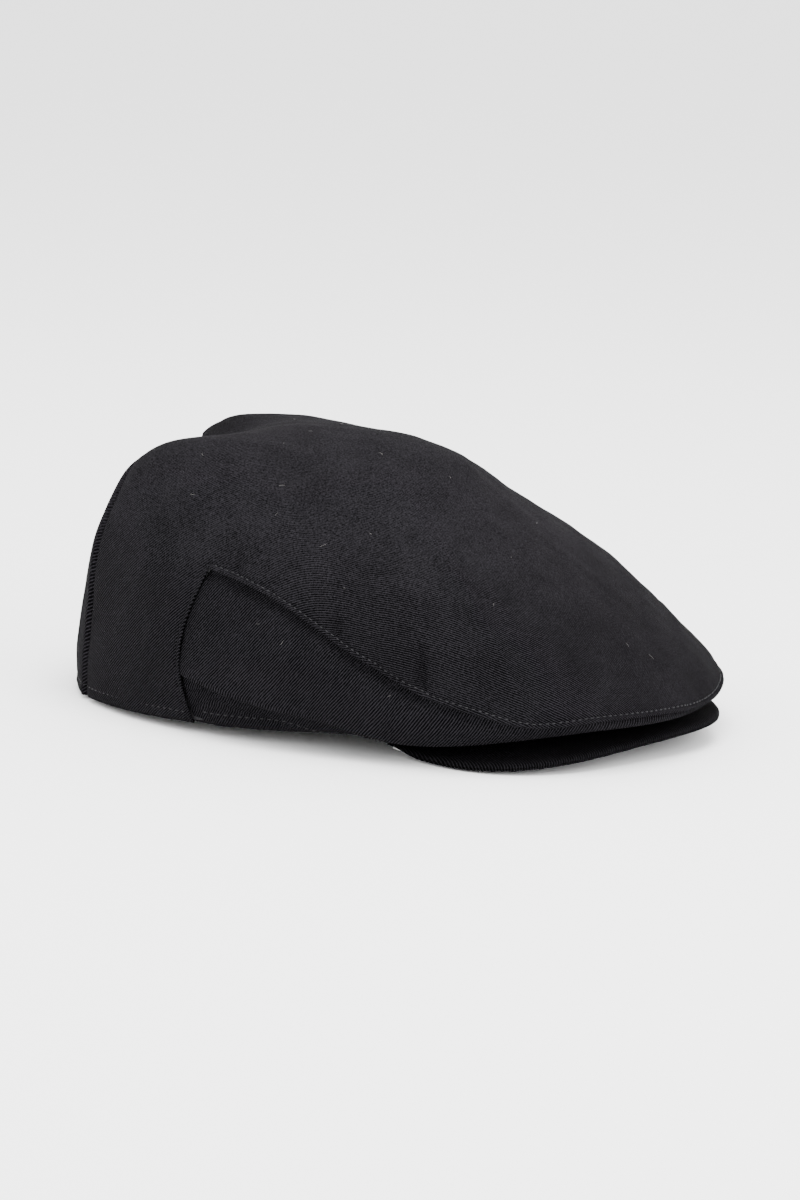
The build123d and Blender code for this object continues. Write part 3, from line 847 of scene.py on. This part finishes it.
# %% Stitches
def even_points(path, normals, pitch):
    """Resample a path at even spacing: points, normals and directions."""
    run = np.concatenate([[0], np.cumsum(np.linalg.norm(np.diff(path, axis=0), axis=1))])
    count = max(2, int(run[-1] / pitch))
    at = (np.arange(count) + 0.5) * run[-1] / count
    point = np.stack([np.interp(at, run, path[:, k]) for k in range(3)], -1)
    ahead = np.stack([np.interp(at + 0.3, run, path[:, k]) for k in range(3)], -1)
    behind = np.stack([np.interp(at - 0.3, run, path[:, k]) for k in range(3)], -1)
    normal = np.stack([np.interp(at, run, normals[:, k]) for k in range(3)], -1)
    along = (ahead - behind) / np.linalg.norm(ahead - behind, axis=1, keepdims=True)
    return point, normal / np.linalg.norm(normal, axis=1, keepdims=True), along


def tubes(name, verts):
    """One object for many thin tubes: verts is tube x ring x side x 3, in millimetres, and each
    face joins two neighbours of one ring to the same two of the next."""
    count, rings, sides = verts.shape[:3]
    row, column = np.arange(rings - 1)[:, None] * sides, np.arange(sides)[None, :]
    cell, after = row + column, row + (column + 1) % sides
    skin = np.stack([cell, cell + sides, after + sides, after], -1).reshape(-1, 4)
    faces = (np.arange(count)[:, None, None] * rings * sides + skin[None]).reshape(-1, 4)
    mesh = bpy.data.meshes.new(name)
    mesh.from_pydata((verts.reshape(-1, 3) * MM).tolist(), [], faces.tolist())
    return placed_object(name, mesh)


BEAD_ALONG = np.array([-0.5, -0.42, -0.2, 0.2, 0.42, 0.5])
BEAD_GIRTH = np.array([0.05, 0.62, 1.0, 1.0, 0.62, 0.05])


def stitch_row(name, rows, length=1.9, radius=0.26, rise=0.08):
    """One object for all the stitches of a seam; rows is a list of (path, normals, pitch)."""
    placed = [even_points(*row) for row in rows]
    point, normal, along = [np.concatenate([p[k] for p in placed]) for k in range(3)]
    across = np.cross(along, normal)
    spin = np.linspace(0, TURN, 5, endpoint=False)
    drop = rise - 0.45 * np.abs(2 * BEAD_ALONG) ** 2.5
    centre = (point[:, None] + along[:, None] * (BEAD_ALONG * length)[None, :, None]
              + normal[:, None] * drop[None, :, None])
    girth = (BEAD_GIRTH * radius)[None, :, None, None]
    ring = (across[:, None, None] * np.cos(spin)[None, None, :, None]
            + normal[:, None, None] * np.sin(spin)[None, None, :, None])
    verts = centre[:, :, None] + ring * girth
    piece = tubes(name, verts)
    piece.data.polygons.foreach_set("use_smooth", np.ones(len(piece.data.polygons), bool))
    return piece


seam_turn = np.radians(np.linspace(-CORNER + 0.8, CORNER - 0.8, 900))
seam_base = panel_edge(seam_turn)
seam_step = crown_frame(seam_turn, seam_base)[3]
rows = [(*top_surface(seam_turn, seam_base + TOP_STITCH_IN / seam_step), 2.6)]
hem_turn = np.radians(np.linspace(119.5, 240.5, 500))
hem_step = crown_frame(hem_turn, 0.02 + 0 * hem_turn)[3]
rows.append((*top_surface(hem_turn, HEM_STITCH_UP / hem_step), 3.1))
top_stitches = stitch_row("top_panel_stitches", rows)

panel_rows = {}
for hand, grid in side_grids.items():
    side = np.abs(panel_columns if hand == "left" else -panel_columns[::-1])
    chosen = (side > 70) & (side < 117.5)
    wall = grid[:TUCK_ROWS // 2][:, chosen]
    climbed = wall[..., 2] - wall[:1, :, 2]
    target = np.minimum(4.5, climbed.max(0) * 0.8)
    line = np.stack([[np.interp(target[c], climbed[:, c], wall[:, c, k]) for k in range(3)]
                     for c in range(wall.shape[1])])
    facing = grid_normals(grid)[6, chosen]
    panel_rows[hand] = stitch_row(f"side_panel_{hand}_stitches", [(line + facing * 0.05, facing, 3.1)])

band_line = [(head_ring(band_angle, up + 0 * band_angle, 0.12), -band_out, 3.0) for up in BAND_STITCH_UP]
band_stitches = stitch_row("sweatband_stitches", band_line)
label_line = []
for end in (-1, 1):
    climb = np.linspace(10.6, 21.6, 30)
    spot = np.full(30, math.pi + end * (math.asin(label_half / 81.0) - 0.012))
    label_line.append((head_ring(spot, climb, -1.22), -opening_outward(spot), 2.2))
label_stitches = stitch_row("label_stitches", label_line, length=1.6, radius=0.2)
print("stitches", len(top_stitches.data.polygons) // 25, "on the top panel")

# %% [markdown]
# ## Lint
#
# Black cloth always carries a few pale fibres. Each is a hair of four segments, bent at random and
# laid on the surface. There are only a few dozen, and they are what makes the black read as cloth.

# %% Lint
def fibres(name, count, seed, turns, heights):
    """Short bent hairs on the top panel, scattered over a range of turns and of heights."""
    chance = np.random.default_rng(seed)
    turn = np.radians(chance.uniform(*turns, count))
    height = chance.uniform(*heights, count)
    point, normal = top_surface(turn, height)
    tangent = np.cross(normal, chance.normal(size=(count, 3)))
    tangent /= np.linalg.norm(tangent, axis=1, keepdims=True)
    sideways = np.cross(normal, tangent)
    length, bend = chance.uniform(0.7, 2.4, count), chance.normal(0, 0.5, count)
    t = np.linspace(-0.5, 0.5, 5)
    centre = (point[:, None] + tangent[:, None] * (t[None, :, None] * length[:, None, None])
              + sideways[:, None] * ((t ** 2)[None, :, None] * (bend * length)[:, None, None])
              + normal[:, None] * (0.12 + 0.3 * (t[None, :, None] ** 2) * np.abs(bend)[:, None, None]))
    spin = np.linspace(0, TURN, 3, endpoint=False)
    ring = (sideways[:, None, None] * np.cos(spin)[None, None, :, None]
            + normal[:, None, None] * np.sin(spin)[None, None, :, None])
    return tubes(name, centre[:, :, None] + ring * 0.045)


lint = fibres("lint", 36, 12, (-175, 175), (0.12, 0.9))
print("fibres", len(lint.data.polygons) // 12)

# %% [markdown]
# ## Materials
#
# The twill is a pattern of slanted ribs worked out from the cloth's own flat coordinates, so the
# ribs turn with each panel as they do when it is cut and sewn. A sine wave makes the ribs, a
# second breaks them into threads, and noise keeps it from looking printed. Each number that the
# shader holds directly, such as sheen, stays a plain value on its socket.

# %% Material helpers
def new_material(name, colour, roughness, sheen=0.0, metallic=0.0, specular=0.5):
    """A node material with its plain numbers set on the shader's own sockets."""
    material = bpy.data.materials.new(name)
    material.use_nodes = True
    tree = material.node_tree
    shader = tree.nodes["Principled BSDF"]
    shader.inputs["Base Color"].default_value = (*colour, 1)
    shader.inputs["Roughness"].default_value = roughness
    shader.inputs["Metallic"].default_value = metallic
    shader.inputs["Specular IOR Level"].default_value = specular
    shader.inputs["Sheen Weight"].default_value = sheen
    shader.inputs["Sheen Roughness"].default_value = 0.45
    material.diffuse_color = (*colour, 1)
    return material, tree, shader


def link(tree, source, target):
    """Join a node's output to another's input."""
    tree.links.new(source, target)


def sums(tree, operation, *values):
    """One Math node; each value is a number or a socket."""
    node = tree.nodes.new("ShaderNodeMath")
    node.operation = operation
    for place, value in enumerate(values):
        if isinstance(value, (int, float)):
            node.inputs[place].default_value = value
        else:
            link(tree, value, node.inputs[place])
    return node.outputs[0]


def wave(tree, x, y, along_x, along_y, pitch, shift=None):
    """A sine from 0 to 1 across a direction, with one crest each pitch metres."""
    length = math.hypot(along_x, along_y)
    phase = sums(tree, "ADD", sums(tree, "MULTIPLY", x, TURN * along_x / length / pitch),
                 sums(tree, "MULTIPLY", y, TURN * along_y / length / pitch))
    if shift is not None:
        phase = sums(tree, "ADD", phase, shift)
    return sums(tree, "MULTIPLY_ADD", sums(tree, "SINE", phase), 0.5, 0.5)


def noise(tree, vector, scale, detail=2.0):
    """A cloudy value from 0 to 1, scale features to the metre."""
    node = tree.nodes.new("ShaderNodeTexNoise")
    node.inputs["Scale"].default_value = scale
    node.inputs["Detail"].default_value = detail
    link(tree, vector, node.inputs["Vector"])
    return node.outputs["Fac"]


def blend_colours(tree, factor, dark, light):
    """A colour between two, by a factor from 0 to 1."""
    node = tree.nodes.new("ShaderNodeMix")
    node.data_type = "RGBA"
    node.inputs["A"].default_value = (*dark, 1)
    node.inputs["B"].default_value = (*light, 1)
    link(tree, factor, node.inputs["Factor"])
    return node.outputs["Result"]


def paint(tree, shader, tone, dark, light):
    """Colour the shader from dark to light by a tone from 0 to 1."""
    link(tree, blend_colours(tree, tone, dark, light), shader.inputs["Base Color"])


def between(dark, light):
    """The colour half way between two."""
    return tuple((a + b) / 2 for a, b in zip(dark, light))


def object_place(tree):
    """Coordinates fixed to the piece, in metres."""
    return tree.nodes.new("ShaderNodeTexCoord").outputs["Object"]


def bump_into(tree, shader, height, strength, distance):
    """Tilt the shading as if the surface rose by height times distance, in metres."""
    node = tree.nodes.new("ShaderNodeBump")
    node.inputs["Strength"].default_value = strength
    node.inputs["Distance"].default_value = distance
    link(tree, height, node.inputs["Height"])
    link(tree, node.outputs["Normal"], shader.inputs["Normal"])


def cloth_coordinates(tree, wobble=0.00012):
    """The cloth's flat coordinates in metres, wandering a little as yarn does."""
    uv = tree.nodes.new("ShaderNodeUVMap")
    uv.uv_map = "cloth"
    split = tree.nodes.new("ShaderNodeSeparateXYZ")
    link(tree, uv.outputs["UV"], split.inputs[0])
    place = object_place(tree)
    drift = sums(tree, "MULTIPLY", sums(tree, "SUBTRACT", noise(tree, place, 90.0), 0.5), wobble * 8)
    return sums(tree, "ADD", split.outputs["X"], drift), split.outputs["Y"], place


def twill(name, across, dark, light, pitch=0.00102, relief=1.0, top_fade=0.0):
    """Slanted ribs of thread. across is the direction square to the ribs; the last argument sets how far
    the ribs even out to one tone, in colour and in bump, towards the top of the crown."""
    material, tree, shader = new_material(name, (0.012, 0.0115, 0.013), 0.92, specular=0.02)
    x, y, place = cloth_coordinates(tree)
    rib = wave(tree, x, y, across[0], across[1], pitch)
    thread = wave(tree, x, y, across[1], -across[0], pitch * 0.7, sums(tree, "MULTIPLY", rib, 2.2))
    mottled = noise(tree, place, 55.0, 3.0)
    fuzz = noise(tree, place, 1350.0, 3.0)
    fine = sums(tree, "MULTIPLY", sums(tree, "POWER", rib, 2.6), sums(tree, "MULTIPLY_ADD", thread, 0.5, 0.6))
    # Between 45 and 85 mm up, the ribs fade to their mean tone, in colour and in bump.
    if top_fade:
        split = tree.nodes.new("ShaderNodeSeparateXYZ")
        link(tree, place, split.inputs[0])
        top_fade_ramp = tree.nodes.new("ShaderNodeMapRange")
        top_fade_ramp.interpolation_type = "SMOOTHSTEP"
        top_fade_ramp.inputs["From Min"].default_value, top_fade_ramp.inputs["From Max"].default_value = 0.045, 0.085
        top_fade_ramp.inputs["To Max"].default_value = top_fade
        link(tree, split.outputs["Z"], top_fade_ramp.inputs["Value"])
        fine = sums(tree, "MULTIPLY_ADD", top_fade_ramp.outputs["Result"], sums(tree, "SUBTRACT", 0.28, fine), fine)
    tone = sums(tree, "MULTIPLY_ADD", sums(tree, "SUBTRACT", mottled, 0.5), 0.25, fine)
    tone = sums(tree, "MULTIPLY_ADD", sums(tree, "SUBTRACT", fuzz, 0.5), 1.1, tone)
    paint(tree, shader, tone, dark, light)
    height = sums(tree, "MULTIPLY_ADD", fuzz, 0.5, fine)
    bump_into(tree, shader, height, relief, 0.0004)
    return material


def satin(name):
    """Smooth lining: a faint fine weave, a soft shine and slow ripples in its tone."""
    material, tree, shader = new_material(name, (0.008, 0.008, 0.009), 0.34, sheen=0.02, specular=0.3)
    shader.inputs["Anisotropic"].default_value = 0.4
    x, y, place = cloth_coordinates(tree)
    weave = wave(tree, x, y, 0.2, 1.0, 0.0004)
    tone = sums(tree, "MULTIPLY_ADD", noise(tree, place, 40.0), 0.6, sums(tree, "MULTIPLY", weave, 0.25))
    paint(tree, shader, tone, (0.005, 0.005, 0.006), (0.014, 0.014, 0.016))
    bump_into(tree, shader, sums(tree, "ADD", weave, noise(tree, place, 220.0)), 0.25, 0.0001)
    return material


def ribbed(name, dark, light, rib_pitch, cross_pitch, roughness=0.85, sheen=0.02):
    """Upright ribs crossed by finer picks: sweatband, elastic and tape."""
    material, tree, shader = new_material(name, between(dark, light), roughness, sheen=sheen, specular=0.12)
    x, y, place = cloth_coordinates(tree, 0.00005)
    ribs = wave(tree, x, y, 1.0, 0.0, rib_pitch)
    picks = wave(tree, x, y, 0.0, 1.0, cross_pitch, sums(tree, "MULTIPLY", ribs, 3.0))
    height = sums(tree, "MULTIPLY_ADD", picks, 0.5, ribs)
    tone = sums(tree, "MULTIPLY_ADD", noise(tree, place, 400.0), 0.4, sums(tree, "MULTIPLY", height, 0.5))
    paint(tree, shader, tone, dark, light)
    bump_into(tree, shader, height, 0.6, 0.00018)
    return material


def thread_material(name, colour):
    """Sewing thread: two plies wound round each other, a little glossier than the cloth."""
    material, tree, shader = new_material(name, colour, 0.6, sheen=0.02, specular=0.2)
    place = object_place(tree)
    tone = noise(tree, place, 2600.0, 1.0)
    paint(tree, shader, tone, tuple(c * 0.6 for c in colour), tuple(c * 1.5 for c in colour))
    bump_into(tree, shader, tone, 0.5, 0.0001)
    return material


def solid_material(name, dark, light, roughness, scale, metallic=0.0, relief=0.2):
    """Plastic or metal: a fine noise varies its tone and surface."""
    material, tree, shader = new_material(name, between(dark, light), roughness, metallic=metallic)
    place = object_place(tree)
    tone = noise(tree, place, scale, 3.0)
    paint(tree, shader, tone, dark, light)
    bump_into(tree, shader, tone, relief, 0.00008)
    return material


TWILL_DARK, TWILL_LIGHT = (0.0002, 0.0002, 0.0003), (0.0240, 0.0223, 0.0260)
black_twill = twill("black twill", (1.0, 1.0), TWILL_DARK, TWILL_LIGHT, pitch=0.00086, top_fade=0.65)
side_twill = twill("black twill, side panels", (1.0, 0.84), TWILL_DARK, TWILL_LIGHT, pitch=0.00098)
brim_twill = twill("black twill, brim", (1.0, -1.0), TWILL_DARK, (0.014, 0.013, 0.015))
lining_satin = satin("black satin lining")
band_cotton = ribbed("black cotton sweatband", (0.003, 0.003, 0.0035), (0.022, 0.021, 0.023), 0.0009, 0.0006)
elastic_rib = ribbed("black rib elastic", (0.003, 0.003, 0.0035), (0.024, 0.023, 0.025), 0.0007, 0.0011)
label_tape = ribbed("grey woven tape", (0.10, 0.10, 0.105), (0.24, 0.24, 0.25), 0.0005, 0.0005, 0.6, 0.1)
black_thread = thread_material("black thread", (0.011, 0.0105, 0.012))
lint_fibre = thread_material("pale fibre", (0.11, 0.105, 0.10))
board_plastic = solid_material("brim board plastic", (0.55, 0.55, 0.53), (0.68, 0.68, 0.66), 0.5, 60.0)
stud_metal = solid_material("gunmetal", (0.05, 0.05, 0.055), (0.10, 0.10, 0.11), 0.32, 900.0,
                            metallic=1.0, relief=0.1)
print("materials", len(bpy.data.materials))

# %% [markdown]
# ## What each piece is, and what it moves with
#
# Every piece gets its material, and the plain solids it stands for are hidden. Most ride the crown,
# the brim cloth rides the brim, and the sweatband, its stitches and the gusset ride no body.

# %% Finish the pieces
def finish_piece(piece, material, slot, body, *nodes):
    """Its material, the solids it stands for, which are hidden, and the body it rides; slot is not used."""
    piece.data.materials.clear()
    piece.data.materials.append(material)
    if nodes:
        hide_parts(*nodes)
    if body:
        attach(piece, body)


finish_piece(top_panel, black_twill, "black_twill", "crown", "top_panel")
for hand in ("left", "right"):
    finish_piece(side_panels[hand], side_twill, "black_twill", "crown", f"side_panel_{hand}")
    finish_piece(lining_sides[hand], lining_satin, "lining_satin", "crown", f"lining_side_{hand}")
    finish_piece(panel_rows[hand], black_thread, "black_twill", "crown")
finish_piece(lining_top, lining_satin, "lining_satin", "crown", "lining_top")
finish_piece(brim_cloth, brim_twill, "black_twill", "brim", "brim_cover_top", "brim_cover_under")
finish_piece(top_stitches, black_thread, "black_twill", "crown")
finish_piece(lint, lint_fibre, "label_tape", "crown")
finish_piece(back_elastic, elastic_rib, "elastic_rib", "crown", "back_elastic")
finish_piece(blank_label, label_tape, "label_tape", "crown", "blank_label")
finish_piece(label_stitches, black_thread, "label_tape", "crown")
finish_piece(sweatband, band_cotton, "sweatband_cotton", None, "sweatband")
finish_piece(band_stitches, black_thread, "sweatband_cotton", None)
finish_piece(gusset, brim_twill, "black_twill", None)
for piece in (sweatband, band_stitches):
    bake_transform(piece)
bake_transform(gusset)
kept_solids = {"brim_board": board_plastic, "snap_socket": stud_metal,
               "snap_socket_ring": stud_metal, "snap_stud": stud_metal}
for node, material in kept_solids.items():
    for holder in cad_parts[node].material_slots:
        holder.material = material


# %% [markdown]
# ## Studio
#
# A pale floor, a broad soft light overhead, and two weaker ones in front and behind. The camera
# stands to the right of the cap, a little above it.

# %% Studio
floor_mesh = bpy.data.meshes.new("floor")
floor_mesh.from_pydata([(-6, -6, 0), (6, -6, 0), (6, 6, 0), (-6, 6, 0)], [], [(0, 1, 2, 3)])
floor = placed_object("floor", floor_mesh)
floor.location.z = min(cad_low.z, 0.0) - 0.0006
floor_white, _, _ = new_material("floor white", (0.95, 0.95, 0.95), 0.9, specular=0.1)
floor_mesh.materials.append(floor_white)

world = bpy.data.worlds.new("studio")
bpy.context.scene.world = world
world.use_nodes = True
world.node_tree.nodes["Background"].inputs["Color"].default_value = (1, 1, 1, 1)
world.node_tree.nodes["Background"].inputs["Strength"].default_value = 2.7


def soft_light(name, place, aim, size, power):
    """A square area light at a place, pointed at another."""
    data = bpy.data.lights.new(name, "AREA")
    data.shape, data.size, data.energy = "SQUARE", size, power
    towards = (Vector(aim) - Vector(place)).to_track_quat("-Z", "Y")
    placed_object(name, data).matrix_world = Matrix.Translation(place) @ towards.to_matrix().to_4x4()


soft_light("top", (-0.25, -0.25, 1.5), (0, -0.03, 0.05), 1.1, 46)
soft_light("front", (-0.7, -1.4, 0.8), (0, -0.06, 0.05), 0.9, 18)
soft_light("back", (-0.3, 1.5, 0.9), (0, 0, 0.05), 0.9, 10)

# %% [markdown]
# ## Camera
#
# A camera can be turned by hand, or built from the angle it looks along. Here three directions,
# out, right and up, are worked out from an angle round the cap, an angle above it and a small
# roll, and they are the columns of its matrix. A long lens keeps the perspective gentle.

# %% Camera
AIM, AIM_DROP = Vector((0, -26.3, 47.1)), 4     # mm
AZIMUTH, ELEVATION, ROLL, DISTANCE = math.radians(-69), math.radians(12), math.radians(1.89), 1.5
level = math.cos(ELEVATION)
out = Vector((math.sin(AZIMUTH) * level, -math.cos(AZIMUTH) * level, math.sin(ELEVATION)))
right = (-out).cross(Vector((0, 0, 1))).normalized()
up = right.cross(-out)
right, up = right * math.cos(ROLL) + up * math.sin(ROLL), up * math.cos(ROLL) - right * math.sin(ROLL)
aim = AIM * MM - up * AIM_DROP * MM
camera = placed_object("camera", bpy.data.cameras.new("camera"))
camera.data.lens, camera.data.sensor_width = 112.5, 36.0
turned = Matrix((right, up, out)).transposed()
camera.matrix_world = Matrix.Translation(aim + out * DISTANCE) @ turned.to_4x4()
bpy.context.scene.camera = camera
print("camera at", [round(v, 3) for v in camera.location])
